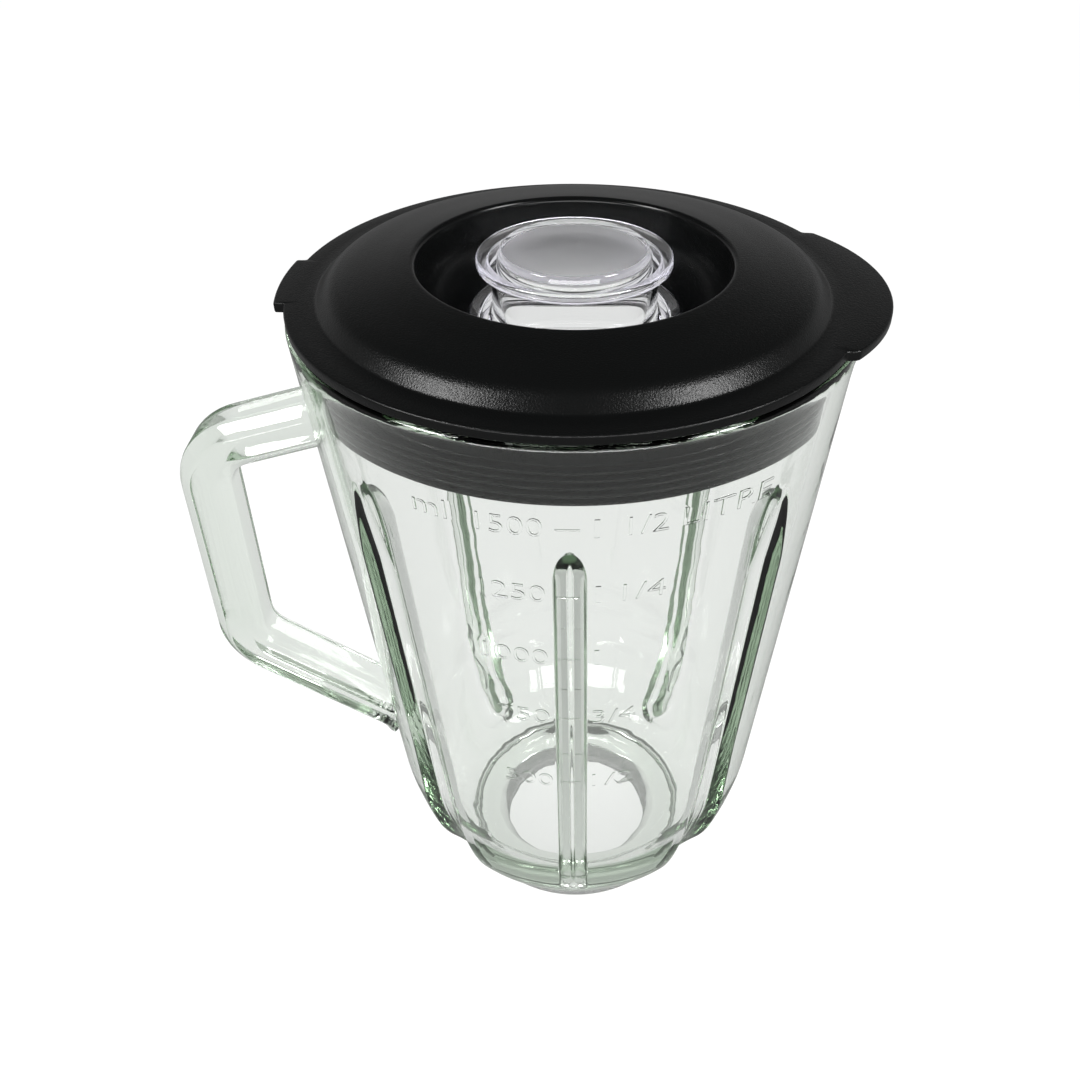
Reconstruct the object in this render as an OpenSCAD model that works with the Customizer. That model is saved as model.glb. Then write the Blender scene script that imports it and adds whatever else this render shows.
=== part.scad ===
/* [Jar body] */
// Height of the jar, from its foot to its rim
jar_h = 199; // [185:1:215]
// Outer diameter of the jar at its rim
rim_d = 140.8; // [134:0.4:148]
// Slope of the side of the jar, in degrees from the vertical
side_slope = 5.2; // [4.2:0.1:6.2]
// Thickness of the glass wall
wall_t = 4.2; // [3.6:0.1:5]
// Height at which the side runs into the round bottom
shoulder_h = 49; // [46:1:52]
// Rounding of the rim
rim_round = 1.6; // [1:0.1:1.9]

/* [Neck] */
// Outer diameter of the neck that stands in the base
neck_d = 74; // [70:0.5:78]
// Diameter of the bore in the neck
bore_d = 48; // [44:0.5:51]
// Height of the straight part of the bore
bore_h = 6; // [4:0.5:8]
// Diameter of the bore where it opens into the jar
bore_top_d = 55; // [52:0.5:58]
// Height of the rim of the bore inside the jar
bore_top_h = 12.4; // [10.5:0.1:14]
// Chamfer at the foot of the neck
foot_chamfer = 1.2; // [0.6:0.1:2]

/* [Flutes] */
// Radius of the hollow of each corner flute, outside
flute_r = 9.7; // [9:0.1:10.5]
// Depth of a flute below the outer face
flute_depth = 3; // [2.6:0.1:3.3]
// Distance from the rim to the tip of a flute
flute_tip = 24; // [22:0.5:30]
// Length of the pointed tip of a flute
flute_point = 26; // [20:1:30]
// Angle round the shoulder at which a flute ends
flute_end = 36; // [32:1:40]
// Radius of the rib inside the front wall, behind the scale
rib_r = 3.7; // [3.5:0.1:4.2]
// Height of that rib above the inner face
rib_in = 4.6; // [4.2:0.1:5.2]
// Distance from the rim to the tip of that rib
rib_tip = 31; // [28:0.1:34]
// Length of the pointed tip of that rib
rib_point = 9; // [7:0.5:12]

/* [Spout] */
// How far the spout stands out from the rim
spout_out = 6; // [4.5:0.25:7]
// Radius of the spout
spout_r = 36; // [32:0.5:38]
// Lean of the spout, in degrees
spout_lean = 31; // [27:1:34]

/* [Handle] */
// How far the handle stands out from the rim
handle_reach = 38.1; // [33:0.1:44]
// Distance from the rim down to the straight grip
grip_drop = 56; // [52:0.5:60]
// Length of the straight grip
grip_h = 50.5; // [44:0.5:56]
// Thickness of the handle, towards the jar
handle_t = 14; // [12:0.5:16]
// Width of the handle, across the hand
handle_w = 18; // [16:0.5:22]
// Chamfer along the edges of the handle
handle_chamfer = 4; // [3:0.25:5]
// Radius of the bends, on the middle line
bend_r = 15; // [12:0.5:17]
// Rise of the upper arm towards the jar, in degrees
upper_rise = 16; // [10:1:20]
// Fall of the lower arm towards the jar, in degrees
lower_fall = 35; // [30:1:40]

/* [Lid] */
// Distance from the edge of the lid's flange in to the outside of the rim
flange_inset = 0.4; // [0:0.1:1]
// Thickness of the flange
flange_t = 2.5; // [2:0.1:3.2]
// How far the tab over the spout reaches past its lip
spout_cover = 1.1; // [0.5:0.1:2.5]
// Width of the tab over the spout
spout_tab_w = 68; // [60:1:74]
// Radius of the outer edge of that tab
spout_tab_r = 49.6; // [46:0.2:54]
// How far the thumb tab stands out from the flange
thumb_reach = 2.4; // [1.8:0.1:4]
// Width of the thumb tab
thumb_tab_w = 25; // [20:0.5:30]
// Width of the flat flange outside the foot of the dome
flange_w = 7.8; // [7:0.1:8.4]
// Height of the crown of the dome over the underside of the flange
crown_h = 9.8; // [9:0.1:11]
// Height of the dome where its outer rounding starts
brow_h = 6.1; // [5.6:0.1:6.5]
// Width of that outer rounding, down to the foot of the dome
brow_w = 3.6; // [3.2:0.1:4.4]
// Thickness of the lid's shell
shell_t = 2.2; // [1.8:0.1:2.6]
// Diameter of the mouth of the well
well_d = 78.6; // [76:0.2:80]
// Depth of the well's floor under the underside of the flange
well_floor = 6; // [4.5:0.1:7]
// Radius of the hollow between the wall and the floor of the well
well_hollow = 9; // [7:0.25:10]
// Room for the seal between the skirt and the wall of the jar, under the flange
seal_room = 5.2; // [4.4:0.1:6]
// Depth of the skirt under the flange
skirt_h = 15.4; // [13.5:0.1:16]

/* [Seal] */
// How far the seal reaches below the skirt
seal_foot = 3; // [2.2:0.1:4]
// Thickness of the seal's sleeve
sleeve_t = 1.5; // [1.2:0.1:1.7]
// Number of ribs round the seal
seal_ribs = 4; // [3:1:4]
// Height of each rib
seal_rib_h = 1.1; // [0.9:0.1:1.3]
// Distance between ribs
seal_pitch = 2.5; // [2.3:0.05:2.6]
// Depth of the top rib under the flange
seal_first = 8.4; // [7.8:0.1:8.9]

/* [Cap] */
// Diameter of the cap's grip
grip_d = 48; // [46:0.5:50]
// Thickness of the grip's rim
grip_t = 2.4; // [2:0.1:2.8]
// Diameter of the raised disc on the grip
disc_d = 36.6; // [34:0.2:38]
// Height of the raised disc
disc_h = 1.7; // [1.2:0.1:2]
// Height of the top of the grip over the lid's flange, underside
cap_h = 10.4; // [9.6:0.1:11.4]
// Outer diameter of the waist under the grip
waist_d = 41; // [40:0.2:42]
// Diameter of the ledge that rests on the well's floor
ledge_d = 52.4; // [51:0.2:54]
// Thickness of the ledge
ledge_t = 2; // [1.6:0.1:2.4]
// Outer diameter of the cap's cup, under the ledge
cup_d = 46.6; // [45:0.2:47.4]
// Depth of the cup under the ledge
cup_h = 15; // [12:0.5:18]
// Wall of the cap
cap_wall = 2.2; // [1.8:0.1:2.5]

/* [Fits] */
// Gap between the lid's flange and the rim of the jar
lid_seat = 0.3; // [0.2:0.05:0.5]
// Gap between the cap's ledge and the well's floor
cap_seat = 0.3; // [0.2:0.05:0.5]
// Gap round the cap's cup in the lid
cap_fit = 0.4; // [0.3:0.05:0.8]
// Gap between the ribs of the seal and the wall of the jar
seal_gap = 0.3; // [0.2:0.05:0.6]
// Gap between the seal and the skirt and flange that carry it
seal_fit = 0.1; // [0.05:0.05:0.2]

/* [Hidden] */
$fn = 96;

rim_r = rim_d / 2;
neck_r = neck_d / 2;
handle_out = rim_r + handle_reach;
grip_top = jar_h - grip_drop;
grip_bottom = grip_top - grip_h;
lid_z = jar_h + lid_seat;
inside_r = side_r(lid_z) - wall_t / cos(side_slope);
flange_r = rim_r - flange_inset;
spout_tab_out = rim_r + spout_out + spout_cover;
thumb_tab_out = flange_r + thumb_reach;
dome_r = flange_r - flange_w;
brow_r = dome_r - brow_w;
skirt_r = inside_r - seal_room;
seal_h = skirt_h + seal_foot;
flute_at = [-45, -135, 45, 135];
rib_at = -90;

// The side of the jar is a cone that runs without a kink into a ball, whose middle is at this height.
ball_r = side_r(shoulder_h) / cos(side_slope);
ball_z = shoulder_h + ball_r * sin(side_slope);
// The runs of one bar overlap by this length, and differ by this radius, so that no two faces coincide.
lap = 1;
step = 0.05;

function side_r(z) = rim_r - (jar_h - z) * tan(side_slope);

function arc_points(x, y, r, from, to, steps = 8) =
    [for (i = [0:steps]) let (a = from + (to - from) * i / steps) [x + r * cos(a), y + r * sin(a)]];

// The jar as a solid, drawn inwards from the outer face by "inset".
module jar_form(inset) {
    r = ball_r - inset;
    touch_z = ball_z - r * sin(side_slope);
    translate([0, 0, ball_z])
        sphere(r);
    translate([0, 0, touch_z])
        cylinder(h = jar_h - touch_z, r1 = r * cos(side_slope), r2 = rim_r - inset / cos(side_slope));
}

module rim_corner() {
    rotate_extrude()
        translate([rim_r - rim_round, jar_h - rim_round])
            difference() {
                square(rim_round + 1);
                circle(rim_round);
            }
}

module foot_corner() {
    rotate_extrude()
        translate([neck_r - foot_chamfer, 0])
            polygon([[0, -1], [0, 0], [foot_chamfer, foot_chamfer], [foot_chamfer + 1, foot_chamfer],
                     [foot_chamfer + 1, -1]]);
}

module jar_outside() {
    difference() {
        intersection() {
            jar_form(0);
            cylinder(h = jar_h, r = 2 * rim_r);
        }
        rim_corner();
    }
    cylinder(h = ball_z / 2, r = neck_r);
}

module jar_cavity() {
    difference() {
        intersection() {
            jar_form(wall_t);
            translate([0, 0, bore_top_h])
                cylinder(h = jar_h, d = rim_d);
        }
        flutes(wall_t);
    }
    translate([0, 0, jar_h - step])
        cylinder(h = lap, r = rim_r - wall_t / cos(side_slope));
    translate([0, 0, -lap])
        cylinder(h = bore_top_h + 2 * lap, d = bore_d);
    translate([0, 0, bore_h])
        cylinder(h = bore_top_h - bore_h + lap / 2, d1 = bore_d, d2 = bore_top_d);
}

// A round bar that follows the side of the jar at "inset" from its face: point, straight run, bend and end.
module side_bar(bar_r, inset, tip_z, point) {
    path_r = ball_r - inset;
    run = (tip_z - shoulder_h) / cos(side_slope) - point;
    // The bend starts this many degrees up the straight run.
    lap_turn = 1.5;
    rotate([90, 0, 0])
        translate([0, ball_z]) {
            rotate([0, 0, -side_slope])
                translate([path_r, -lap])
                    rotate([-90, 0, 0]) {
                        cylinder(h = run + lap, r = bar_r);
                        translate([0, 0, run + lap])
                            cylinder(h = point, r1 = bar_r, r2 = 0.2);
                    }
            rotate([0, 0, -flute_end]) {
                rotate_extrude(angle = flute_end - side_slope + lap_turn)
                    translate([path_r, 0])
                        circle(bar_r + step);
                translate([path_r, 0])
                    sphere(bar_r + 2 * step);
            }
        }
}

// The corner flutes, and with "wall" the hump that each of them leaves inside.
module flutes(wall) {
    bar_r = flute_r + wall;
    // The bar stands out of the face, so its own point is longer than the point that it cuts.
    point = flute_point * bar_r / flute_depth;
    for (at = flute_at)
        rotate([0, 0, at])
            side_bar(bar_r, flute_depth - flute_r, jar_h - flute_tip - flute_point + point, point);
}

module front_rib() {
    rotate([0, 0, rib_at])
        side_bar(rib_r, wall_t + rib_in - rib_r, jar_h - rib_tip, rib_point);
}

// The spout is a leaning cylinder, trimmed well below the place where it leaves the side, and "over" the rim.
module spout(r, over) {
    reach = rim_r + spout_out - spout_r / cos(spout_lean);
    trim = 22;
    length = 60;
    intersection() {
        translate([reach, 0, jar_h])
            rotate([0, spout_lean, 0])
                translate([0, 0, -length / 2])
                    cylinder(h = length, r = r);
        translate([-rim_r, -rim_r, jar_h - trim])
            cube([3 * rim_r, 2 * rim_r, trim + over]);
    }
}

module handle_section(grow) {
    a = handle_t / 2 + grow;
    b = handle_w / 2 + grow;
    c = handle_chamfer;
    polygon([[a, c - b], [a, b - c], [a - c, b], [c - a, b], [-a, b - c], [-a, c - b], [c - a, -b], [a - c, -b]]);
}

module handle_bar(from, heading, length) {
    translate(from)
        rotate([0, 0, heading])
            rotate([90, 0, 90])
                translate([0, 0, -lap / 2])
                    linear_extrude(length + lap)
                        handle_section(step);
}

module handle_bend(centre, from, turn) {
    translate(centre)
        rotate([0, 0, from])
            rotate_extrude(angle = turn)
                translate([bend_r, 0])
                    handle_section(0);
}

module handle() {
    grip_x = handle_t / 2 - handle_out;
    upper = [grip_x + bend_r, grip_top];
    lower = [grip_x + bend_r, grip_bottom];
    upper_turn = 90 - upper_rise;
    lower_turn = 90 - lower_fall;
    upper_end = upper + bend_r * [cos(180 - upper_turn), sin(180 - upper_turn)];
    lower_end = lower + bend_r * [cos(180 + lower_turn), sin(180 + lower_turn)];
    // Both arms run past the inner face of the wall, and the cavity trims them.
    upper_run = (-side_r(upper_end.y) + 2 * wall_t - upper_end.x) / cos(upper_rise);
    lower_run = (-side_r(shoulder_h) + 2 * wall_t - lower_end.x) / cos(lower_fall);
    rotate([90, 0, 0]) {
        handle_bar(upper_end, upper_rise, upper_run);
        handle_bend(upper, 180 - upper_turn, upper_turn);
        handle_bar([grip_x, grip_bottom], 90, grip_top - grip_bottom);
        handle_bend(lower, 180, lower_turn);
        handle_bar(lower_end, -lower_fall, lower_run);
    }
}

module glass_jar() {
    color([0.86, 0.92, 0.88, 0.45])
        difference() {
            union() {
                difference() {
                    union() {
                        jar_outside();
                        spout(spout_r, 0);
                        handle();
                    }
                    jar_cavity();
                    spout(spout_r - wall_t, 2 * wall_t);
                    foot_corner();
                }
                front_rib();
            }
            flutes(0);
        }
}

module lid_outline() {
    circle(flange_r);
    intersection() {
        translate([spout_tab_out - spout_tab_r, 0])
            circle(spout_tab_r);
        translate([0, -spout_tab_w / 2])
            square([spout_tab_out, spout_tab_w]);
    }
    intersection() {
        circle(thumb_tab_out);
        translate([-thumb_tab_out, -thumb_tab_w / 2])
            square([thumb_tab_out, thumb_tab_w]);
    }
}

// Half section of the lid's dome and well: "inset" draws the underside of the shell.
module dome_section() {
    well_r = well_d / 2;
    hole_r = cup_d / 2 + cap_fit;
    floor_z = -well_floor;
    // The lip of the well is rounded by this radius.
    edge = 2.4;
    hollow_x = well_r - edge / 2 - well_hollow;
    polygon(concat(
        [[dome_r, 0], [dome_r, flange_t]],
        [[brow_r, brow_h]],
        [[well_r + edge, crown_h]],
        arc_points(well_r + edge / 2, crown_h - edge, edge, 60, 180, 6),
        arc_points(hollow_x, floor_z + well_hollow, well_hollow, 0, -90, 8),
        [[hole_r, floor_z], [hole_r, floor_z - shell_t]],
        arc_points(hollow_x, floor_z + well_hollow, well_hollow + shell_t, -90, 0, 8),
        [[well_r - edge / 2 + shell_t, crown_h - edge - shell_t]],
        [[brow_r, brow_h - shell_t], [dome_r - shell_t, 0]]
    ));
}

module lid_cover() {
    color([0.09, 0.09, 0.09])
        translate([0, 0, lid_z]) {
            linear_extrude(flange_t)
                difference() {
                    lid_outline();
                    circle(dome_r - shell_t);
                }
            rotate_extrude()
                dome_section();
            // The skirt reaches up into the middle of the dome's shell.
            translate([0, 0, -skirt_h])
                linear_extrude(skirt_h + (flange_t + brow_h - shell_t) / 2)
                    difference() {
                        circle(skirt_r);
                        circle(skirt_r - shell_t);
                    }
        }
}

module lid_seal() {
    inner_r = skirt_r + seal_fit;
    outer_r = inner_r + sleeve_t;
    foot_r = skirt_r - shell_t;
    blunt = 0.3;
    // The tips of the ribs follow the wall of the jar down its slope.
    rib_z = [for (i = [seal_ribs - 1:-1:0]) -seal_first - i * seal_pitch];
    tip_r = [for (z = rib_z) side_r(lid_z + z) - wall_t / cos(side_slope) - seal_gap];
    ribs_out = [for (i = [0:seal_ribs - 1])
        each [[outer_r, rib_z[i] - seal_rib_h], [tip_r[i] - blunt, rib_z[i] - seal_rib_h],
              [tip_r[i], rib_z[i] - seal_rib_h / 2], [tip_r[i] - blunt, rib_z[i]],
              [outer_r, rib_z[i] + seal_rib_h]]];
    color([0.13, 0.13, 0.13])
        translate([0, 0, lid_z])
            rotate_extrude()
                polygon(concat(
                    [[outer_r, -seal_fit], [inner_r, -seal_fit], [inner_r, -skirt_h - seal_fit]],
                    [[foot_r, -skirt_h - seal_fit], [foot_r, -seal_h], [outer_r, -seal_h]],
                    ribs_out
                ));
}

module filler_cap() {
    ledge_z = cap_seat - well_floor;
    hollow_r = waist_d / 2 - cap_wall;
    cup_r = cup_d / 2;
    roof_z = cap_h - grip_t - 0.4;
    edge = 0.6;
    // The hollow narrows from the cup to the waist over this height.
    neck_in = 1.5;
    color([0.92, 0.94, 0.97, 0.4])
        translate([0, 0, lid_z])
            rotate_extrude()
                polygon([
                    [0, roof_z], [hollow_r - edge, roof_z], [hollow_r, roof_z - edge], [hollow_r, ledge_z],
                    [cup_r - cap_wall, ledge_z - neck_in], [cup_r - cap_wall, ledge_z - cup_h],
                    [cup_r, ledge_z - cup_h], [cup_r, ledge_z],
                    [ledge_d / 2, ledge_z], [ledge_d / 2, ledge_z + ledge_t], [waist_d / 2, ledge_z + ledge_t],
                    [waist_d / 2, cap_h - grip_t], [grip_d / 2 - edge, cap_h - grip_t],
                    [grip_d / 2, cap_h - grip_t + edge], [grip_d / 2, cap_h - edge], [grip_d / 2 - edge, cap_h],
                    [disc_d / 2, cap_h], [disc_d / 2 - edge, cap_h + disc_h], [0, cap_h + disc_h]
                ]);
}

glass_jar();
lid_cover();
lid_seal();
filler_cap();
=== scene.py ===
import math
import bpy
import numpy as np
from mathutils import Matrix, Vector


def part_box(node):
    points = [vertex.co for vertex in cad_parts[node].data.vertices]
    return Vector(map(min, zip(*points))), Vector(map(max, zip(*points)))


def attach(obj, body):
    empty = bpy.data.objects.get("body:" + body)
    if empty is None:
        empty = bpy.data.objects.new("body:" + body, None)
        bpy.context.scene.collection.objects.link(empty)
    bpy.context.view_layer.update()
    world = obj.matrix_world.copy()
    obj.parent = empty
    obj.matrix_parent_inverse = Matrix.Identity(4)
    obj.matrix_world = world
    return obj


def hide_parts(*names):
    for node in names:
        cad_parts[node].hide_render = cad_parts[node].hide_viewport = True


mm = 0.001
mergeGap = 0.004  # vertices closer than this become one
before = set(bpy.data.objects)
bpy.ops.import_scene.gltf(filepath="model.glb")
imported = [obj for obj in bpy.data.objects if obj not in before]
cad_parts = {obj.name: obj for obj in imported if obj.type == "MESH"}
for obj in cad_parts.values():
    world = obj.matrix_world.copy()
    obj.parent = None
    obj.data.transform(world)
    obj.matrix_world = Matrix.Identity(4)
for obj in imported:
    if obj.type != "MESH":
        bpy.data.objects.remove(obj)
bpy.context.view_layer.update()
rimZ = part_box("glass_jar")[1].z / mm  # the jar's rim, over its foot
lidZ = rimZ + 0.3  # the underside of the lid's flange
print("frame loaded:", ", ".join(sorted(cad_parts)))


# Small helpers, all in millimetres until a vertex is placed

def clearSelection():
    if bpy.context.object and bpy.context.object.mode != "OBJECT":
        bpy.ops.object.mode_set(mode="OBJECT")
    bpy.ops.object.select_all(action="DESELECT")


def pickOnly(piece):
    clearSelection()
    piece.select_set(True)
    bpy.context.view_layer.objects.active = piece


def closeMesh(gap):
    # leaves edit mode with doubles merged and faces pointing outwards
    bpy.ops.mesh.select_all(action="SELECT")
    if gap:
        bpy.ops.mesh.remove_doubles(threshold=gap)
    bpy.ops.mesh.normals_make_consistent(inside=False)
    bpy.ops.object.mode_set(mode="OBJECT")


def arc(x, z, r, start, end, steps):
    turns = [math.radians(start + (end - start) * i / steps) for i in range(steps + 1)]
    return [(x + r * math.cos(a), z + r * math.sin(a)) for a in turns]


def turnProfile(name, profile, sectors):
    # one vertex is drawn along the half section and back to its start, then spun about the axis
    clearSelection()
    bpy.ops.mesh.primitive_plane_add(size=mm, location=(0, 0, 0))
    piece = bpy.context.object
    piece.name = name
    bpy.ops.object.mode_set(mode="EDIT")
    bpy.ops.mesh.select_mode(type="VERT")
    bpy.ops.mesh.merge(type="CENTER")
    pen = Vector((profile[0][0], 0, profile[0][1])) * mm
    bpy.ops.transform.translate(value=pen)
    for r, z in profile[1:] + profile[:1]:
        nextPoint = Vector((r, 0, z)) * mm
        bpy.ops.mesh.extrude_vertices_move(TRANSFORM_OT_translate={"value": nextPoint - pen})
        pen = nextPoint
    bpy.ops.mesh.select_all(action="SELECT")
    for degrees, steps in sectors:
        bpy.ops.mesh.spin(steps=steps, angle=-math.radians(degrees), center=(0, 0, 0), axis=(0, 0, 1))
    closeMesh(mergeGap * mm)
    return piece


def readPoints(piece):
    points = np.empty(len(piece.data.vertices) * 3)
    piece.data.vertices.foreach_get("co", points)
    return points.reshape(-1, 3) / mm


def writePoints(piece, points):
    piece.data.vertices.foreach_set("co", (points * mm).ravel())
    piece.data.update()


def softMax(a, b, blend):
    near = np.maximum(blend - np.abs(a - b), 0) / blend
    return np.maximum(a, b) + near * near * blend / 4


def smoothStep(low, high, value):
    t = np.clip((value - low) / (high - low), 0, 1)
    return t * t * (3 - 2 * t)


def fuse(piece, tool):
    pickOnly(piece)
    union = piece.modifiers.new("fuse", "BOOLEAN")
    union.operation = "UNION"
    union.solver = "MANIFOLD"
    union.object = tool
    bpy.ops.object.modifier_apply(modifier=union.name)
    bpy.data.objects.remove(tool)


def smoothShade(piece, degrees):
    pickOnly(piece)
    bpy.ops.object.shade_smooth_by_angle(angle=math.radians(degrees))


# The jar: one piece of pressed glass

jarShape = {
    "rimR": 70.4, "slope": 5.2, "wall": 4.2, "shoulderZ": 49,  # side, and where it runs into the ball
    "neckR": 37, "neckZ": 7.6, "footR": 30, "footRound": 2.4,
    "boreR": 24, "boreTopR": 27.5, "boreZ": 6, "floorZ": 12.4, "lipOut": 1.2,
    # small edges of the bore: outwards and up, from its foot, its lip and its top
    "boreFoot": ((0, 0.8), (0.3, 0.2), (1, 0)), "boreLip": ((0, -0.5), (-1.1, -2.1)),
    "boreTop": ((0.2, 0.4), (0, -0.4)),
    "rimOut": 1.6, "rimIn": 1.0, "belly": 2.2, "bellyTurns": (12, 40), "bowlR": 44, "bowlSoft": 7,
    "fineZ": 160, "coarseZ": 177,  # rows lie closer here, for the tips of the flutes
    "spoutX": 34.4, "spoutR": 36, "spoutLean": 31, "spoutSoft": 3, "spoutFade": (16, 24),
    "spoutHalf": 0.2,  # where the cosine of the turn is less than this, the side stays round
    "smoothAngle": 40,
}
jarSteps = {
    "foot": 6, "ball": 28, "side": 32, "fine": 22, "coarse": 9, "rimOut": 6, "rimIn": 5,
    "bowl": 18, "floor": 15,
}
# each corner has a hollow flute outside and a rib behind it inside, the front has a rib only
fluteShape = {
    "half": 14, "tipZ": 175, "point": 26, "endTurn": 36, "soft": 0.4,
    "r": 9.7, "depth": 3, "spreadR": 3.5, "spreadDepth": 0.5, "spreadFrom": (95, 150),
}
cornerRib = {
    "half": 14, "tipZ": 174, "point": 14, "endTurn": 36, "soft": 0.8, "wide": 4.2, "tall": 4.7,
}
frontRib = {
    "half": 8, "tipZ": 168.4, "point": 9, "endTurn": 35, "soft": 0.5, "wide": 3.65, "tall": 4.6,
}
# how far a pressed bar reaches past its tip and end, and how its sector's columns are shared out
pressing = {
    "before": 14, "after": 16, "fadeIn": (-13, -3), "fadeOut": (6, 15), "skin": 0.05, "innerSkin": 2.2,
    "barShare": 0.5, "lipShare": 0.64, "lipWide": 1.0, "leastWide": 0.5, "leastPart": 0.02,
    "margin": 0.01,
    "nothing": -1,  # a height well under the face, where the face stays as it is
}
fluteSteps, ribSteps, plainDegrees = 48, 40, 2.5
cornersAt, frontAt = (45, 135, 225, 315), 270
slope = math.radians(jarShape["slope"])
ballR = (jarShape["rimR"] - (rimZ - jarShape["shoulderZ"]) * math.tan(slope)) / math.cos(slope)
ballZ = jarShape["shoulderZ"] + ballR * math.sin(slope)


def sideR(z):
    return jarShape["rimR"] - (rimZ - z) * math.tan(slope)


def belly(ballTurn):
    # the outside hangs a little fuller than a ball, low down
    return jarShape["belly"] * smoothStep(*jarShape["bellyTurns"], np.degrees(ballTurn))


def jarProfile():
    s = jarShape
    steps = jarSteps
    neck, bore, foot, wall = s["neckR"], s["boreR"], s["footRound"], s["wall"] / math.cos(slope)
    ballIn = ballR - s["wall"]
    points = [(bore + out, up) for out, up in s["boreFoot"]] + [(s["footR"], 0)]
    points += arc(neck - foot, foot, foot, -90, 0, steps["foot"]) + [(neck, 5), (neck, s["neckZ"])]
    # the ball starts just outside the neck, so that the joint stays sharp
    lowest = math.acos((neck + 0.3) / (ballR + s["belly"]))
    turns = [lowest - (lowest - slope) * i / steps["ball"] for i in range(steps["ball"] + 1)]
    bulged = [(ballR + belly(turn), turn) for turn in turns]
    points += [(r * math.cos(turn), ballZ - r * math.sin(turn)) for r, turn in bulged]
    low, fine, coarse, top = s["shoulderZ"], s["fineZ"], s["coarseZ"], rimZ - s["rimOut"]
    rows = []
    for start, end, band in ((low, fine, "side"), (fine, coarse, "fine"), (coarse, top, "coarse")):
        rows += [start + (end - start) * i / steps[band] for i in range(steps[band])]
    rows = rows[1:]
    points += [(sideR(z), z) for z in rows]
    points += arc(sideR(top) - s["rimOut"], top, s["rimOut"], -s["slope"], 90, steps["rimOut"])
    inner, innerTop, upright = s["rimR"] - wall + s["rimIn"], rimZ - s["rimIn"], 180 - s["slope"]
    points += arc(inner, innerTop, s["rimIn"], 90, upright, steps["rimIn"])
    points += [(sideR(z) - wall, z) for z in reversed(rows)]
    bowlEnd = -math.degrees(math.acos(s["bowlR"] / ballIn))
    points += arc(0, ballZ, ballIn, -s["slope"], bowlEnd, steps["bowl"])
    lipR = s["boreTopR"] + s["lipOut"]
    for i in range(1, steps["floor"] + 1):
        r = s["bowlR"] - (s["bowlR"] - lipR) * i / steps["floor"]
        onBall = ballZ - math.sqrt(ballIn ** 2 - r ** 2)
        points.append((r, float(softMax(onBall, s["floorZ"], s["bowlSoft"]))))
    points += [(s["boreTopR"] + out, s["floorZ"] + up) for out, up in s["boreLip"]]
    points += [(bore + out, s["boreZ"] + up) for out, up in s["boreTop"]]
    return points


def jarSectors():
    # the sector of each flute or rib gets close columns
    bands = [(at, fluteShape["half"], fluteSteps) for at in cornersAt]
    bands.append((frontAt, frontRib["half"], ribSteps))
    sectors = []
    reached = 0
    for middle, half, steps in sorted(bands):
        plain = middle - half - reached
        sectors.append((plain, max(6, round(plain / plainDegrees))))
        sectors.append((2 * half, steps))
        reached = middle + half
    sectors.append((360 - reached, round((360 - reached) / plainDegrees)))
    return sectors


def alongSide(points):
    # where a point lies on the side: radius, inset from the outer face, distance down, turn of the normal
    r = np.hypot(points[:, 0], points[:, 1])
    drop = ballZ - points[:, 2]
    onBall = drop > r * math.tan(slope)
    ballTurn = np.arctan2(drop, r)
    straight = (rimZ - jarShape["shoulderZ"]) / math.cos(slope)
    roundDown = straight + ballR * (ballTurn - slope)
    inset = np.where(onBall, ballR - np.hypot(r, drop), (sideR(points[:, 2]) - r) * math.cos(slope))
    down = np.where(onBall, roundDown, (rimZ - points[:, 2]) / math.cos(slope))
    return r, inset, down, np.where(onBall, ballTurn, slope)


def pressBar(points, shape, middle, face, width, height):
    # columns are first gathered to the bar's own width, then the face is pushed in by the bar's height
    p = pressing
    r, inset, down, normalTurn = alongSide(points)
    turn = np.degrees(np.arctan2(points[:, 1], points[:, 0]))
    offset = (turn - middle + 180) % 360 - 180
    tip = (rimZ - shape["tipZ"]) / math.cos(slope)
    end = (rimZ - jarShape["shoulderZ"]) / math.cos(slope)
    end += ballR * math.radians(shape["endTurn"] - jarShape["slope"])
    if face == 0:
        inset = inset + np.where(normalTurn > slope, belly(normalTurn), 0)
    move = (inset > face - p["skin"]) & (inset < face + (p["innerSkin"] if face else p["skin"]))
    move &= (np.abs(offset) < shape["half"] - p["margin"])
    move &= (down > tip - p["before"]) & (down < end + p["after"])
    along, past = down - tip, np.maximum(down - end, 0)
    edge = np.maximum(width(along, past), p["leastWide"])
    lipEdge = edge + p["lipWide"]
    share = np.abs(offset) / shape["half"]
    plain = r * np.radians(np.abs(offset))
    whole = r * math.radians(shape["half"])
    bar, lip = p["barShare"], p["lipShare"]
    spread = edge * np.sin(np.minimum(share / bar, 1) * math.pi / 2)
    spread = np.where(share > bar, edge + (share - bar) / (lip - bar) * p["lipWide"], spread)
    spread = np.where(share > lip, lipEdge + (whole - lipEdge) * (share - lip) / (1 - lip), spread)
    fadeIn = smoothStep(*p["fadeIn"], along)
    fadeOut = 1 - smoothStep(end + p["fadeOut"][0], end + p["fadeOut"][1], down)
    across = plain + (spread - plain) * fadeIn * fadeOut
    bow = height(across, along, past)
    depth = softMax(bow, 0 * bow, shape["soft"])
    newTurn = math.radians(middle) + np.sign(offset) * across / r
    newR = r - depth * np.cos(normalTurn)
    points[move, 0] = (newR * np.cos(newTurn))[move]
    points[move, 1] = (newR * np.sin(newTurn))[move]
    points[move, 2] += (depth * np.sin(normalTurn))[move]


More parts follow.
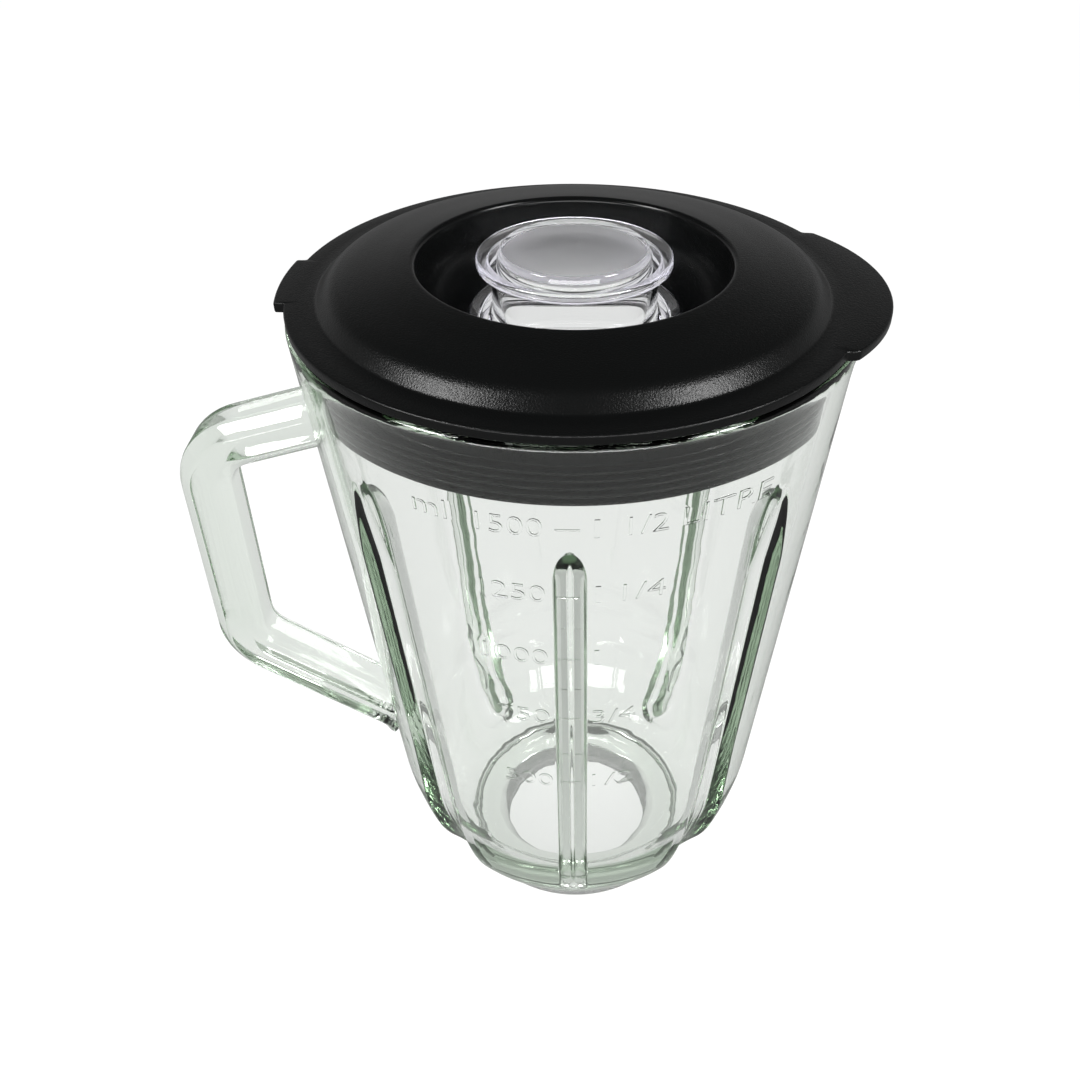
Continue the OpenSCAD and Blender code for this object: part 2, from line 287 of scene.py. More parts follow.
def pressFlute(points, s, middle):

    def barSize(along, past):
        low = smoothStep(*s["spreadFrom"], along)
        deep = s["depth"] + s["spreadDepth"] * low
        centre = s["r"] + s["spreadR"] * low - deep
        barR = centre + deep * np.clip(along / s["point"], 0, 1)
        return np.sqrt(np.maximum(barR ** 2 - past ** 2, 0)), centre

    def width(along, past):
        barR, centre = barSize(along, past)
        return np.sqrt(np.maximum(barR ** 2 - centre ** 2, 0))

    def height(across, along, past):
        barR, centre = barSize(along, past)
        bow = np.sqrt(np.maximum(barR ** 2 - across ** 2, 0)) - centre
        return np.where(along < 0, pressing["nothing"], bow)

    pressBar(points, s, middle, 0, width, height)


def pressRib(points, s, middle):

    def size(along, past):
        inTip = np.clip(along / s["point"], 0, 1)
        swell = np.sqrt(np.maximum(1 - (1 - inTip) ** 2, 0))
        return swell * np.sqrt(np.maximum(1 - (past / s["wide"]) ** 2, 0))

    def width(along, past):
        return s["wide"] * size(along, past)

    def height(across, along, past):
        part = np.maximum(size(along, past), pressing["leastPart"])
        bow = s["tall"] * part * (1 - (across / (s["wide"] * part)) ** 2)
        return np.where(along < 0, pressing["nothing"], np.maximum(bow, pressing["nothing"]))

    pressBar(points, s, middle, jarShape["wall"], width, height)


def pressSpout(points):
    s = jarShape
    r = np.hypot(points[:, 0], points[:, 1])
    turn = np.arctan2(points[:, 1], points[:, 0])
    below = rimZ - points[:, 2]
    lean = math.radians(s["spoutLean"])
    centre = s["spoutX"] - below * math.tan(lean)

    def reach(radius):
        # how far a leaning round spout of this radius reaches out from the jar's axis
        a, b = radius / math.cos(lean), radius
        c, d = np.cos(turn) / a, np.sin(turn) / b
        e = centre / a
        k = c * c + d * d
        root = np.maximum((c * e) ** 2 - k * (e * e - 1), 0)
        return (c * e + np.sqrt(root)) / k

    wall = s["wall"] / math.cos(slope)
    side = sideR(points[:, 2])
    outGrow = softMax(reach(s["spoutR"]) - side, 0 * side, s["spoutSoft"])
    inGrow = softMax(reach(s["spoutR"] - s["wall"]) - side + wall, 0 * side, s["spoutSoft"])
    share = np.clip((side - r) / wall, 0, 1)
    grow = np.where(np.cos(turn) > s["spoutHalf"], outGrow + (inGrow - outGrow) * share, 0)
    grow = grow * (1 - smoothStep(*s["spoutFade"], below))
    points[:, 0] += grow * np.cos(turn)
    points[:, 1] += grow * np.sin(turn)


handleShape = {
    "outX": -108.5, "thick": 14, "wide": 18, "chamfer": 4, "edge": 1.1, "edgeAngle": 30,
    "gripLow": 92.5, "gripHigh": 143, "bendR": 15, "bendSteps": 14, "upperRise": 16, "lowerFall": 35,
    "armLength": 25, "inGlass": 2, "flareLength": 5,
    "flare": ((0.55, 1.03), (0.3, 1.07), (0.15, 1.16 / 1.03 / 1.07)),  # share of the length, swelling
}


def addArm(heading, face, endR):
    # the last face runs on to the middle of the wall, and swells a little where it meets the glass
    s = handleShape
    centre = Vector(face)
    run = (-endR - centre.x) / heading.x
    steps = [(run - s["flareLength"], 1)]
    steps += [(s["flareLength"] * share, swell) for share, swell in s["flare"]]
    for length, swell in steps:
        bpy.ops.mesh.extrude_region_move(TRANSFORM_OT_translate={"value": heading * length * mm})
        centre = centre + heading * length
        bpy.ops.transform.resize(value=(swell, swell, swell), center_override=centre * mm)


def selectFaceAt(piece, place):
    bpy.ops.mesh.select_mode(type="FACE")
    bpy.ops.mesh.select_all(action="DESELECT")
    bpy.ops.object.mode_set(mode="OBJECT")
    best = min(piece.data.polygons, key=lambda face: (face.center / mm - Vector(place)).length)
    best.select = True
    bpy.ops.object.mode_set(mode="EDIT")


def makeHandle():
    s = handleShape
    x = s["outX"] + s["thick"] / 2
    start = (x * mm, 0, s["gripLow"] * mm)
    clearSelection()
    bpy.ops.mesh.primitive_plane_add(size=mm, location=start)
    piece = bpy.context.object
    bpy.ops.object.transform_apply(location=True)
    bpy.ops.object.mode_set(mode="EDIT")
    bpy.ops.transform.resize(value=(s["thick"], s["wide"], 1), center_override=start)
    bpy.ops.mesh.bevel(offset=s["chamfer"] * mm, affect="VERTICES", clamp_overlap=False)
    bpy.ops.mesh.select_all(action="SELECT")
    grip = (0, 0, (s["gripHigh"] - s["gripLow"]) * mm)
    bpy.ops.mesh.extrude_region_move(TRANSFORM_OT_translate={"value": grip})
    bendX = x + s["bendR"]
    for height, slant, sign in ((s["gripHigh"], s["upperRise"], 1), (s["gripLow"], s["lowerFall"], -1)):
        selectFaceAt(piece, (x, 0, height))
        bpy.ops.mesh.spin(steps=s["bendSteps"], angle=-sign * math.radians(90 - slant),
                          center=(bendX * mm, 0, height * mm), axis=(0, 1, 0))
        rise = math.radians(slant)
        face = (bendX - s["bendR"] * math.sin(rise), 0, height + sign * s["bendR"] * math.cos(rise))
        heading = Vector((math.cos(rise), 0, sign * math.sin(rise)))
        endR = sideR(face[2] + sign * s["armLength"] * math.sin(rise)) - s["inGlass"]
        addArm(heading, face, endR)
    closeMesh(0)
    pickOnly(piece)
    rounding = piece.modifiers.new("rounding", "BEVEL")
    rounding.width = s["edge"] * mm
    rounding.segments = 3
    rounding.limit_method = "ANGLE"
    rounding.angle_limit = math.radians(s["edgeAngle"])
    bpy.ops.object.modifier_apply(modifier=rounding.name)
    return piece


# each mark: text, where it starts and ends in degrees round the jar, its height over the foot
scaleMarks = [
    ("ml", -119.6, -112.6, 178.9), ("1500", -106.8, -94.7, 178.0), ("1", -85.5, -84.5, 177.9),
    ("1/2", -79.3, -71.9, 178.0), ("LITRE", -69.1, -49.4, 178.2),
    ("1250", -107.6, -94.7, 158.2), ("1", -85.0, -84.0, 158.2), ("1/4", -79.7, -71.2, 158.2),
    ("1000", -108.5, -94.7, 137.0), ("1", -85.0, -84.0, 137.0),
    ("750", -106.9, -94.9, 114.6), ("3/4", -85.2, -75.2, 114.6),
    ("500", -107.0, -94.8, 87.6), ("1/2", -84.8, -74.1, 87.6),
]
scaleTicks = (177.6, 157.3, 136.4, 114.0, 87.0)
markShape = {
    "high": 5, "raise": 0.3, "root": 0.4, "tickTurn": -90.3, "tickWide": 5.4, "tickHigh": 0.3,
    "curveSteps": 3, "thick": 0.1, "thinner": -0.012, "merge": 0.0001,  # before a mark is scaled
}


def placeMark(piece, middle, width, z, height):
    # a flat mark is scaled to its size and bent on to the side, a little of it inside the glass
    points = readPoints(piece)
    low, high = points.min(axis=0), points.max(axis=0)
    share = (points - (low + high) / 2) / np.maximum(high - low, 0.001)
    newZ = z + share[:, 1] * height
    turn = math.radians(middle) + share[:, 0] * width / sideR(z)
    depth = np.where(share[:, 2] > 0, markShape["raise"], -markShape["root"])
    points[:, 0] = (sideR(newZ) + depth) * np.cos(turn)
    points[:, 1] = (sideR(newZ) + depth) * np.sin(turn)
    points[:, 2] = newZ
    writePoints(piece, points)


def makeScale():
    s = markShape
    marks = []
    for words, start, end, z in scaleMarks:
        clearSelection()
        bpy.ops.object.text_add(location=(0, 0, 0))
        text = bpy.context.object.data
        text.body = words
        text.resolution_u = s["curveSteps"]
        text.extrude = s["thick"]
        text.offset = s["thinner"]
        bpy.ops.object.convert(target="MESH")
        marks.append(bpy.context.object)
        bpy.ops.object.mode_set(mode="EDIT")
        closeMesh(s["merge"])
        placeMark(marks[-1], (start + end) / 2, math.radians(end - start) * sideR(z), z, s["high"])
    for z in scaleTicks:
        clearSelection()
        bpy.ops.mesh.primitive_cube_add(size=mm, location=(0, 0, 0))
        marks.append(bpy.context.object)
        placeMark(marks[-1], s["tickTurn"], s["tickWide"], z, s["tickHigh"])
    clearSelection()
    for mark in marks:
        mark.select_set(True)
    bpy.context.view_layer.objects.active = marks[0]
    bpy.ops.object.join()
    return marks[0]


glassJar = turnProfile("glassJar", jarProfile(), jarSectors())
jarPoints = readPoints(glassJar)
for cornerAt in cornersAt:
    pressFlute(jarPoints, fluteShape, cornerAt)
    pressRib(jarPoints, cornerRib, cornerAt)
pressRib(jarPoints, frontRib, frontAt)
pressSpout(jarPoints)
writePoints(glassJar, jarPoints)
print("jar turned and pressed:", len(glassJar.data.vertices), "vertices")
fuse(glassJar, makeHandle())
fuse(glassJar, makeScale())
smoothShade(glassJar, jarShape["smoothAngle"])
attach(glassJar, "jar")
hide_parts("glass_jar")
print("handle and scale fused:", len(glassJar.data.vertices), "vertices")


# The lid: one moulding of black plastic

lidShape = {
    "flangeR": 70, "flangeT": 2.5, "edge": 0.5,
    "tabX": 27.9, "tabR": 49.57, "tabHalf": 34, "tabCorner": 1, "tabJoin": 1.2,
    "thumbR": 72.4, "thumbHalf": 12.5, "thumbCorner": 0.8, "thumbJoin": 0.8,
    "edgeFade": (1.6, 0.6),  # inwards from the flange's edge: the tabs grow between these two
    "domeR": 62.2, "crownZ": 9.8, "crownSoft": 1.3, "wellR": 38.3, "wellZ": -6, "hollowR": 9,
    "holeR": 23.7, "shell": 2.2, "skirtR": 60.96, "skirtZ": -15.4, "bevel": 0.4,
    # the brow, inwards from the dome's foot and up from the flange, then the dome by radius and height
    "brow": ((-4, 0), (-0.9, 0), (-0.45, 0.09), (-0.1, 0.3), (0.2, 0.62),
             (1.1, 1.55), (2, 2.5), (2.7, 3.1), (3.6, 3.65), (4.8, 4.1)),
    "dome": ((54, 7.4), (50, 8.1), (46, 8.8)),
    "smoothAngle": 35,
}


def lidProfile():
    s = lidShape
    r, t, e = s["flangeR"], s["flangeT"], s["edge"]
    low, high, hollow, soft = s["wellZ"], s["crownZ"], s["hollowR"], s["crownSoft"]
    well, hole, shell, skirt, skirtZ = s["wellR"], s["holeR"], s["shell"], s["skirtR"], s["skirtZ"]
    inner, bevel = skirt - shell, s["bevel"]
    points = arc(r - e, e, e, -90, 0, 4) + arc(r - e, t - e, e, 0, 90, 5)
    points += [(s["domeR"] - inward, t + up) for inward, up in s["brow"]]
    points += list(s["dome"]) + [(42.5, high - 0.35)]
    points += arc(well + soft, high - soft, soft, 75, 180, 7) + [(well, 6.6), (well, 5)]
    points += arc(well - hollow, low + hollow, hollow, 0, -90, 14)
    points += [(26, low), (hole + bevel, low), (hole, low - bevel)]
    points += [(hole, low - shell + 0.3), (hole + 0.3, low - shell)]
    points += arc(well - hollow, low + hollow, hollow + shell, -90, 0, 8)
    points += [(well + shell, 5.4), (well + shell + 1, 6.5), (54, 4.9), (inner - 0.6, 3.9)]
    points += [(inner, 3.2), (inner, skirtZ + bevel), (inner + bevel, skirtZ)]
    points += [(skirt - bevel, skirtZ), (skirt, skirtZ + bevel), (skirt, 0), (r - 4, 0)]
    return [(r, lidZ + z) for r, z in points]


def lidOutline(turn):
    # the flange's reach round the lid, with the tab over the spout and the thumb tab
    s = lidShape
    c, d = np.cos(turn), np.sin(turn)
    across = np.maximum(np.abs(d), 0.001)
    tab = s["tabX"] * c + np.sqrt(np.maximum(s["tabR"] ** 2 - (s["tabX"] * d) ** 2, 0))
    tab = -softMax(-tab, -s["tabHalf"] / across, s["tabCorner"])
    tab = np.where(c > 0, tab, 0)
    thumb = -softMax(-s["thumbR"] + 0 * c, -s["thumbHalf"] / across, s["thumbCorner"])
    thumb = np.where(c < 0, thumb, 0)
    flange = s["flangeR"] + 0 * c
    return softMax(softMax(flange, tab, s["tabJoin"]), thumb, s["thumbJoin"])


# degrees and columns from the tab to the thumb tab, close where the outline turns, then back
lidHalf = [(24, 12), (8, 20), (136, 68), (6, 20)]
lidCover = turnProfile("lidCover", lidProfile(), lidHalf + [(12, 8)] + lidHalf[::-1])
lidPoints = readPoints(lidCover)
lidR = np.hypot(lidPoints[:, 0], lidPoints[:, 1])
lidGrow = lidOutline(np.arctan2(lidPoints[:, 1], lidPoints[:, 0])) / lidShape["flangeR"] - 1
edgeShare = smoothStep(*(lidShape["flangeR"] - inward for inward in lidShape["edgeFade"]), lidR)
lidPoints[:, :2] *= (1 + lidGrow * edgeShare)[:, None]
writePoints(lidCover, lidPoints)
smoothShade(lidCover, lidShape["smoothAngle"])
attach(lidCover, "lid")
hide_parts("lid_cover")


# The seal round the skirt

sealShape = {
    "fit": 0.1, "sleeve": 1.5, "depth": 18.4, "gap": 0.3, "bevel": 0.4, "lowBevel": 0.5,
    "ribs": 5, "first": 8.6, "pitch": 2.05, "blade": 0.75, "ribRoot": 0.25,
    "smoothAngle": 35,
}


def sealProfile():
    s = sealShape
    inner = lidShape["skirtR"] + s["fit"]
    outer = inner + s["sleeve"]
    under = lidShape["skirtR"] - lidShape["shell"]
    skirt, bottom, bevel, low = lidShape["skirtZ"] - s["fit"], -s["depth"], s["bevel"], s["lowBevel"]
    points = [(inner, -s["fit"]), (inner, skirt), (under, skirt), (under, bottom + bevel),
              (under + bevel, bottom), (outer - low, bottom), (outer, bottom + low)]
    root, half = s["ribRoot"], s["blade"] / 2
    for i in reversed(range(s["ribs"])):
        z = -s["first"] - i * s["pitch"]
        tip = sideR(lidZ + z) - jarShape["wall"] / math.cos(slope) - s["gap"] - half
        points += [(outer, z - half - root), (outer + root, z - half), (tip, z - half)]
        points += arc(tip, z, half, -60, 60, 4)
        points += [(tip, z + half), (outer + root, z + half), (outer, z + half + root)]
    points += [(outer, -s["fit"] - bevel), (outer - bevel, -s["fit"])]
    return [(r, lidZ + z) for r, z in points]


lidSeal = turnProfile("lidSeal", sealProfile(), [(360, 144)])
smoothShade(lidSeal, sealShape["smoothAngle"])
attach(lidSeal, "lid")
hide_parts("lid_seal")


# The filler cap: one hollow moulding of clear plastic

capShape = {
    "gripR": 24, "gripZ": 10.4, "gripT": 2.4, "discR": 18.3, "discH": 1.7, "waistR": 20.5,
    "ledgeR": 26.2, "ledgeZ": -5.7, "ledgeT": 2, "cupR": 23.3, "cupH": 15, "wall": 2.2, "roofZ": 7.6,
    "middleR": 8, "discEdge": 1, "gripEdge": (0.9, 0.6), "ledgeEdge": (0.6, 0.4), "roofEdge": 1.2,
    "smoothAngle": 40,
}


def roundedRim(r, high, low, edges, steps):
    points = arc(r - edges[0], high - edges[0], edges[0], 90, 0, steps[0])
    return points + arc(r - edges[1], low + edges[1], edges[1], 0, -90, steps[1])


def capProfile():
    s = capShape
    top, grip, disc, waist = s["gripZ"], s["gripR"], s["discR"], s["waistR"]
    under, ledge, bottom = top - s["gripT"], s["ledgeZ"], s["ledgeZ"] - s["cupH"]
    discTop, ledgeTop, roof = top + s["discH"], ledge + s["ledgeT"], s["roofZ"]
    cup, cupIn, waistIn = s["cupR"], s["cupR"] - s["wall"], waist - s["wall"]
    points = [(0, discTop), (s["middleR"], discTop)]
    points += arc(disc - s["discEdge"], discTop - s["discEdge"], s["discEdge"], 90, 10, 5)
    points += [(disc + 0.25, top + 0.15), (disc + 0.7, top)]
    points += roundedRim(grip, top, under, s["gripEdge"], (5, 4))
    points += [(waist + 0.8, under), (waist + 0.2, under - 0.25), (waist, under - 0.8)]
    points += [(waist, ledgeTop + 0.8), (waist + 0.25, ledgeTop + 0.2), (waist + 0.8, ledgeTop)]
    points += roundedRim(s["ledgeR"], ledgeTop, ledge, s["ledgeEdge"], (4, 3))
    points += [(cup + 0.3, ledge), (cup, ledge - 0.3)]
    points += [(cup, bottom + 0.5), (cup - 0.3, bottom), (cupIn + 0.3, bottom)]
    points += [(cupIn, bottom + 0.4), (cupIn, ledge - 2), (waistIn, ledge - 0.2)]
    points += [(waistIn, roof - s["roofEdge"])]
    points += arc(waistIn - s["roofEdge"], roof - s["roofEdge"], s["roofEdge"], 20, 90, 4)
    points += [(s["middleR"], roof), (0, roof)]
    return [(r, lidZ + z) for r, z in points]


fillerCap = turnProfile("fillerCap", capProfile(), [(360, 128)])
smoothShade(fillerCap, capShape["smoothAngle"])
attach(fillerCap, "cap")
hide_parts("filler_cap")
print("lid, seal and cap turned")


# Materials

def newMaterial(name):
    material = bpy.data.materials.new(name)
    material.use_nodes = True
    return material, material.node_tree.nodes, material.node_tree.links


def newGroup(name, vectors, numbers, output, outputKind):
    group = bpy.data.node_groups.new(name, "ShaderNodeTree")
    sockets = [(socket, "INPUT", "Vector") for socket in vectors]
    sockets += [(socket, "INPUT", "Float") for socket in numbers] + [(output, "OUTPUT", outputKind)]
    for socket, side, kind in sockets:
        group.interface.new_socket(name=socket, in_out=side, socket_type="NodeSocket" + kind)
    given = group.nodes.new("NodeGroupInput").outputs
    result = group.nodes.new("NodeGroupOutput").inputs[output]
    return group, group.nodes, group.links, given, result


def makeNoiseBump():
    # uneven surface: fine for plastic grain, coarse for pressed glass
    group, nodes, links, given, result = newGroup(
        "noiseBump", ["Coordinates"], ["Scale", "Strength", "Height"], "Normal", "Vector")
    noise = nodes.new("ShaderNodeTexNoise")
    noise.inputs["Detail"].default_value = 2
    bump = nodes.new("ShaderNodeBump")
    for socket, target in (("Coordinates", noise.inputs["Vector"]), ("Scale", noise.inputs["Scale"]),
                           ("Strength", bump.inputs["Strength"]), ("Height", bump.inputs["Distance"])):
        links.new(given[socket], target)
    links.new(noise.outputs["Fac"], bump.inputs["Height"])
    links.new(bump.outputs["Normal"], result)
    return group


def makeRoundZone():
    # a mask of the zone between two heights and inside a radius, in the piece's own coordinates
    group, nodes, links, given, result = newGroup(
        "roundZone", ["Coordinates"], ["Low", "High", "Radius"], "Mask", "Float")
    split = nodes.new("ShaderNodeSeparateXYZ")
    links.new(given["Coordinates"], split.inputs[0])
    flat = nodes.new("ShaderNodeCombineXYZ")
    for axis in "XY":
        links.new(split.outputs[axis], flat.inputs[axis])
    length = nodes.new("ShaderNodeVectorMath")
    length.operation = "LENGTH"
    links.new(flat.outputs[0], length.inputs[0])
    mask = None
    for value, limit, operation in ((split.outputs["Z"], "Low", "GREATER_THAN"),
                                    (split.outputs["Z"], "High", "LESS_THAN"),
                                    (length.outputs["Value"], "Radius", "LESS_THAN")):
        test = nodes.new("ShaderNodeMath")
        test.operation = operation
        links.new(value, test.inputs[0])
        links.new(given[limit], test.inputs[1])
        if mask is None:
            mask = test.outputs[0]
            continue
        both = nodes.new("ShaderNodeMath")
        both.operation = "MULTIPLY"
        links.new(mask, both.inputs[0])
        links.new(test.outputs[0], both.inputs[1])
        mask = both.outputs[0]
    links.new(mask, result)
    return group


noiseBump = makeNoiseBump()
roundZone = makeRoundZone()


def addBump(nodes, links, shader, settings):
    coordinates = nodes.new("ShaderNodeTexCoord")
    bump = nodes.new("ShaderNodeGroup")
    bump.node_tree = noiseBump
    bump.inputs["Scale"].default_value = settings["bumpScale"]
    bump.inputs["Strength"].default_value = settings["bumpStrength"]
    bump.inputs["Height"].default_value = settings["bumpHeight"]
    links.new(coordinates.outputs["Object"], bump.inputs["Coordinates"])
    links.new(bump.outputs["Normal"], shader.inputs["Normal"])
    return coordinates, bump


def addZone(nodes, links, coordinates, zone):
    mask = nodes.new("ShaderNodeGroup")
    mask.node_tree = roundZone
    for name, value in zip(("Low", "High", "Radius"), zone):
        mask.inputs[name].default_value = value * mm
    links.new(coordinates.outputs["Object"], mask.inputs["Coordinates"])
    return mask.outputs["Mask"]


def mixByMask(nodes, links, mask, outside, inside, target):
    mix = nodes.new("ShaderNodeMix")
    mix.inputs["A"].default_value = outside
    mix.inputs["B"].default_value = inside
    links.new(mask, mix.inputs["Factor"])
    links.new(mix.outputs["Result"], target)


def makeGlass(name, settings):
    material, nodes, links = newMaterial(name)
    shader = nodes["Principled BSDF"]
    output = nodes["Material Output"]
    shader.inputs["Base Color"].default_value = (1, 1, 1, 1)
    shader.inputs["Transmission Weight"].default_value = 1
    shader.inputs["IOR"].default_value = settings["ior"]
    shader.inputs["Roughness"].default_value = 0
    clear = nodes.new("ShaderNodeBsdfTransparent")
    clear.inputs["Color"].default_value = settings["shadow"]
    path = nodes.new("ShaderNodeLightPath")
    mix = nodes.new("ShaderNodeMixShader")
    links.new(path.outputs["Is Shadow Ray"], mix.inputs[0])
    links.new(shader.outputs[0], mix.inputs[1])
    links.new(clear.outputs[0], mix.inputs[2])
    links.new(mix.outputs[0], output.inputs["Surface"])
    tint = nodes.new("ShaderNodeVolumeAbsorption")
    tint.inputs["Color"].default_value = settings["tint"]
    tint.inputs["Density"].default_value = settings["density"]
    links.new(tint.outputs[0], output.inputs["Volume"])
    coordinates = addBump(nodes, links, shader, settings)[0]
    if "frosted" in settings:
        mask = addZone(nodes, links, coordinates, settings["frosted"])
        mixByMask(nodes, links, mask, 0, settings["frostedRoughness"], shader.inputs["Roughness"])
    return material


def makeBlack(name, settings):
    material, nodes, links = newMaterial(name)
    shader = nodes["Principled BSDF"]
    rough, strength = settings["roughness"], settings["bumpStrength"]
    shader.inputs["Base Color"].default_value = settings["color"]
    shader.inputs["Roughness"].default_value = rough
    shader.inputs["Specular IOR Level"].default_value = settings["shine"]
    coordinates, bump = addBump(nodes, links, shader, settings)
    if "smooth" in settings:
        mask = addZone(nodes, links, coordinates, settings["smooth"])
        mixByMask(nodes, links, mask, rough, settings["smoothRoughness"], shader.inputs["Roughness"])
        mixByMask(nodes, links, mask, strength, 0, bump.inputs["Strength"])
    return material


# frosted and smooth zones: lowest and highest z, radius
glassFinish = {
    "ior": 1.5, "shadow": (0.9, 0.93, 0.9, 1), "tint": (0.36, 0.53, 0.34, 1), "density": 17,
    "bumpScale": 60, "bumpStrength": 0.22, "bumpHeight": 0.0003,
}
discBack = lidZ + capShape["roofZ"]
capFinish = {
    "ior": 1.49, "shadow": (0.95, 0.95, 0.97, 1), "tint": (0.8, 0.78, 0.95, 1), "density": 10,
    "bumpScale": 90, "bumpStrength": 0.2, "bumpHeight": 0.0002,
    "frosted": (discBack - 0.4, discBack + 0.4, 17.4), "frostedRoughness": 0.3,
}
lidFinish = {
    "color": (0.002, 0.0022, 0.0022, 1), "roughness": 0.29, "shine": 0.24,
    "bumpScale": 2400, "bumpStrength": 0.4, "bumpHeight": 0.0002,
    "smooth": (lidZ - 20, lidZ + lidShape["crownZ"] - 0.2, lidShape["wellR"] + 0.8),
    "smoothRoughness": 0.2,
}
sealFinish = {
    "color": (0.004, 0.004, 0.004, 1), "roughness": 0.3, "shine": 0.08,
    "bumpScale": 700, "bumpStrength": 0.1, "bumpHeight": 0.0001,
}
finishes = (
    (glassJar, makeGlass("clearGlass", glassFinish)), (fillerCap, makeGlass("clearPlastic", capFinish)),
    (lidCover, makeBlack("blackPlastic", lidFinish)), (lidSeal, makeBlack("blackRubber", sealFinish)),
)
for piece, material in finishes:
    piece.data.materials.clear()
    piece.data.materials.append(material)
print("materials made")


# Floor, world, lamps and camera: brightness depends on how the ray came, as in a light tent

rayKinds = {"Camera": "Is Camera Ray", "Through": "Is Transmission Ray", "Mirrored": "Is Glossy Ray"}


def makeRayChoice():
    # the first kind that a ray is gives its value, and Other is what is left
    numbers = list(rayKinds) + [kind + " Value" for kind in rayKinds] + ["Other Value"]
    group, nodes, links, given, result = newGroup("rayChoice", [], numbers, "Value", "Float")
    value = given["Other Value"]
    for kind in reversed(rayKinds):
        mix = nodes.new("ShaderNodeMix")
        links.new(given[kind], mix.inputs["Factor"])
        links.new(value, mix.inputs["A"])
        links.new(given[kind + " Value"], mix.inputs["B"])
        value = mix.outputs["Result"]
    links.new(value, result)
    return group


rayChoice = makeRayChoice()


def addFade(nodes, links, value, fade, target):
    ramp = nodes.new("ShaderNodeMapRange")
    for socket, number in zip(("From Min", "From Max", "To Min", "To Max"), fade):
        ramp.inputs[socket].default_value = number
    links.new(value, ramp.inputs["Value"])
    links.new(ramp.outputs["Result"], target)


def addRayChoice(nodes, links, light, space, axis):
    # a light is one number, or it fades along the axis: its first and last place, then its two values
    path = nodes.new("ShaderNodeLightPath")
    choice = nodes.new("ShaderNodeGroup")
    choice.node_tree = rayChoice
    coordinates = nodes.new("ShaderNodeTexCoord")
    split = nodes.new("ShaderNodeSeparateXYZ")
    links.new(coordinates.outputs[space], split.inputs[0])
    for kind, output in rayKinds.items():
        links.new(path.outputs[output], choice.inputs[kind])
    for kind in list(rayKinds) + ["Other"]:
        target = choice.inputs[kind + " Value"]
        if isinstance(light[kind], tuple):
            addFade(nodes, links, split.outputs[axis], light[kind], target)
        else:
            target.default_value = light[kind]
    return choice


floorLight = {"Camera": 1.05, "Through": (-0.14, 0.02, 0.5, 0.92), "Mirrored": 0.2, "Other": 0.4}
floorShape = {"size": 12, "color": (0.8, 0.8, 0.8, 1), "roughness": 0.9, "glowShare": 0.92}


def makeFloor():
    s = floorShape
    clearSelection()
    bpy.ops.mesh.primitive_plane_add(size=s["size"], location=(0, 0, 0))
    floor = bpy.context.object
    floor.name = "floor"
    material, nodes, links = newMaterial("paleFloor")
    shader = nodes["Principled BSDF"]
    shader.inputs["Base Color"].default_value = s["color"]
    shader.inputs["Roughness"].default_value = s["roughness"]
    choice = addRayChoice(nodes, links, floorLight, "Object", "Y")
    glow = nodes.new("ShaderNodeEmission")
    links.new(choice.outputs["Value"], glow.inputs["Color"])
    mix = nodes.new("ShaderNodeMixShader")
    mix.inputs[0].default_value = s["glowShare"]
    links.new(shader.outputs[0], mix.inputs[1])
    links.new(glow.outputs[0], mix.inputs[2])
    links.new(mix.outputs[0], nodes["Material Output"].inputs["Surface"])
    floor.data.materials.append(material)


worldLight = {
    "Camera": 1, "Through": (0, 0.6, 0.88, 0.6), "Mirrored": (0.15, 0.5, 0.4, 0.03), "Other": 0.5,
}


def makeWorld():
    world = bpy.data.worlds.new("studio")
    bpy.context.scene.world = world
    world.use_nodes = True
    nodes, links = world.node_tree.nodes, world.node_tree.links
    choice = addRayChoice(nodes, links, worldLight, "Generated", "Z")
    links.new(choice.outputs["Value"], nodes["Background"].inputs["Color"])


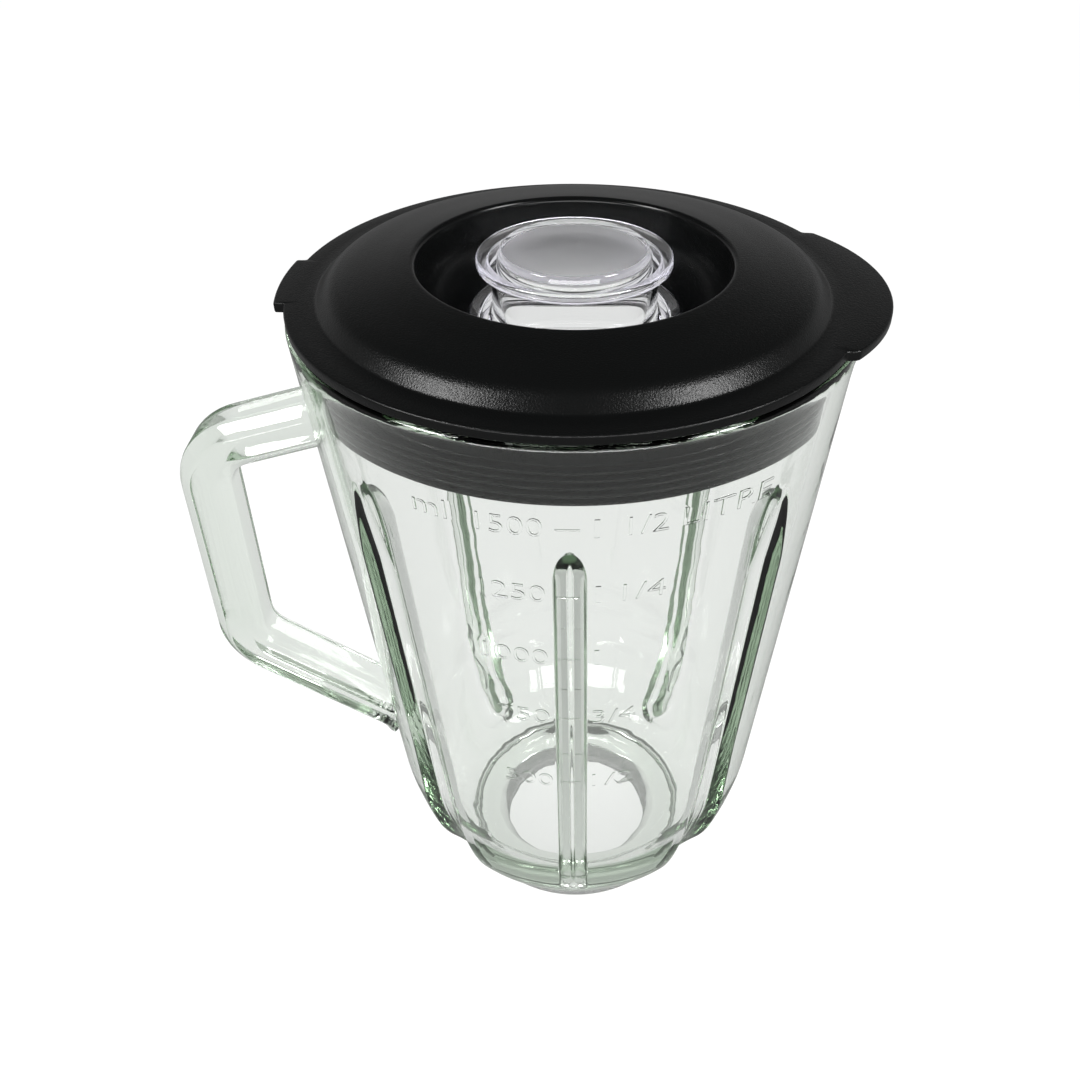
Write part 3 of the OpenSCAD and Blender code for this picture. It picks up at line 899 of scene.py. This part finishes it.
# each lamp: name, place, width and height, watts
lamps = (
    ("lampLeft", (-0.9, -0.4, 1.1), (0.4, 0.4), 14),
    ("lampRight", (0.9, -0.4, 1.1), (0.4, 0.4), 14),
    ("lampFront", (0, -1.6, 0.6), (2.4, 0.4), 28),
)
lampTarget = Vector((0, 0, 0.15))


def addLamp(name, place, size, power):
    clearSelection()
    bpy.ops.object.light_add(type="AREA", location=place)
    lamp = bpy.context.object
    lamp.name = name
    lamp.data.shape = "RECTANGLE"
    lamp.data.size, lamp.data.size_y = size
    lamp.data.energy = power
    lamp.rotation_euler = (lampTarget - Vector(place)).to_track_quat("-Z", "Y").to_euler()


cameraShape = {
    "place": (0.0052, -0.2499, 0.3154), "pitch": 37.75, "yaw": 0.13, "roll": 0.63,
    "lens": 36.18, "sensor": 36, "shiftX": -0.0513, "shiftY": 0.0003, "near": 0.01,
}


def makeCamera():
    s = cameraShape
    pitch, yaw, roll = (math.radians(s[key]) for key in ("pitch", "yaw", "roll"))
    ahead = Vector((math.sin(yaw) * math.cos(pitch), math.cos(yaw) * math.cos(pitch), -math.sin(pitch)))
    right = Vector((math.cos(yaw), -math.sin(yaw), 0))
    up = right.cross(ahead)
    side = math.cos(roll) * right + math.sin(roll) * up
    top = -math.sin(roll) * right + math.cos(roll) * up
    data = bpy.data.cameras.new("camera")
    data.sensor_width = s["sensor"]
    data.lens = s["lens"]
    data.shift_x = s["shiftX"]
    data.shift_y = s["shiftY"]
    data.clip_start = s["near"]
    camera = bpy.data.objects.new("camera", data)
    bpy.context.scene.collection.objects.link(camera)
    turn = Matrix((side, top, -ahead)).transposed().to_4x4()
    camera.matrix_world = Matrix.Translation(s["place"]) @ turn
    bpy.context.scene.camera = camera


makeFloor()
makeWorld()
for lamp in lamps:
    addLamp(*lamp)
makeCamera()
bpy.context.scene.view_settings.view_transform = "Standard"
# light runs a long way inside glass walls
bpy.context.scene.cycles.max_bounces = 24
bpy.context.scene.cycles.glossy_bounces = 16
bpy.context.scene.cycles.transmission_bounces = 20
print("floor, world, lamps and camera made")
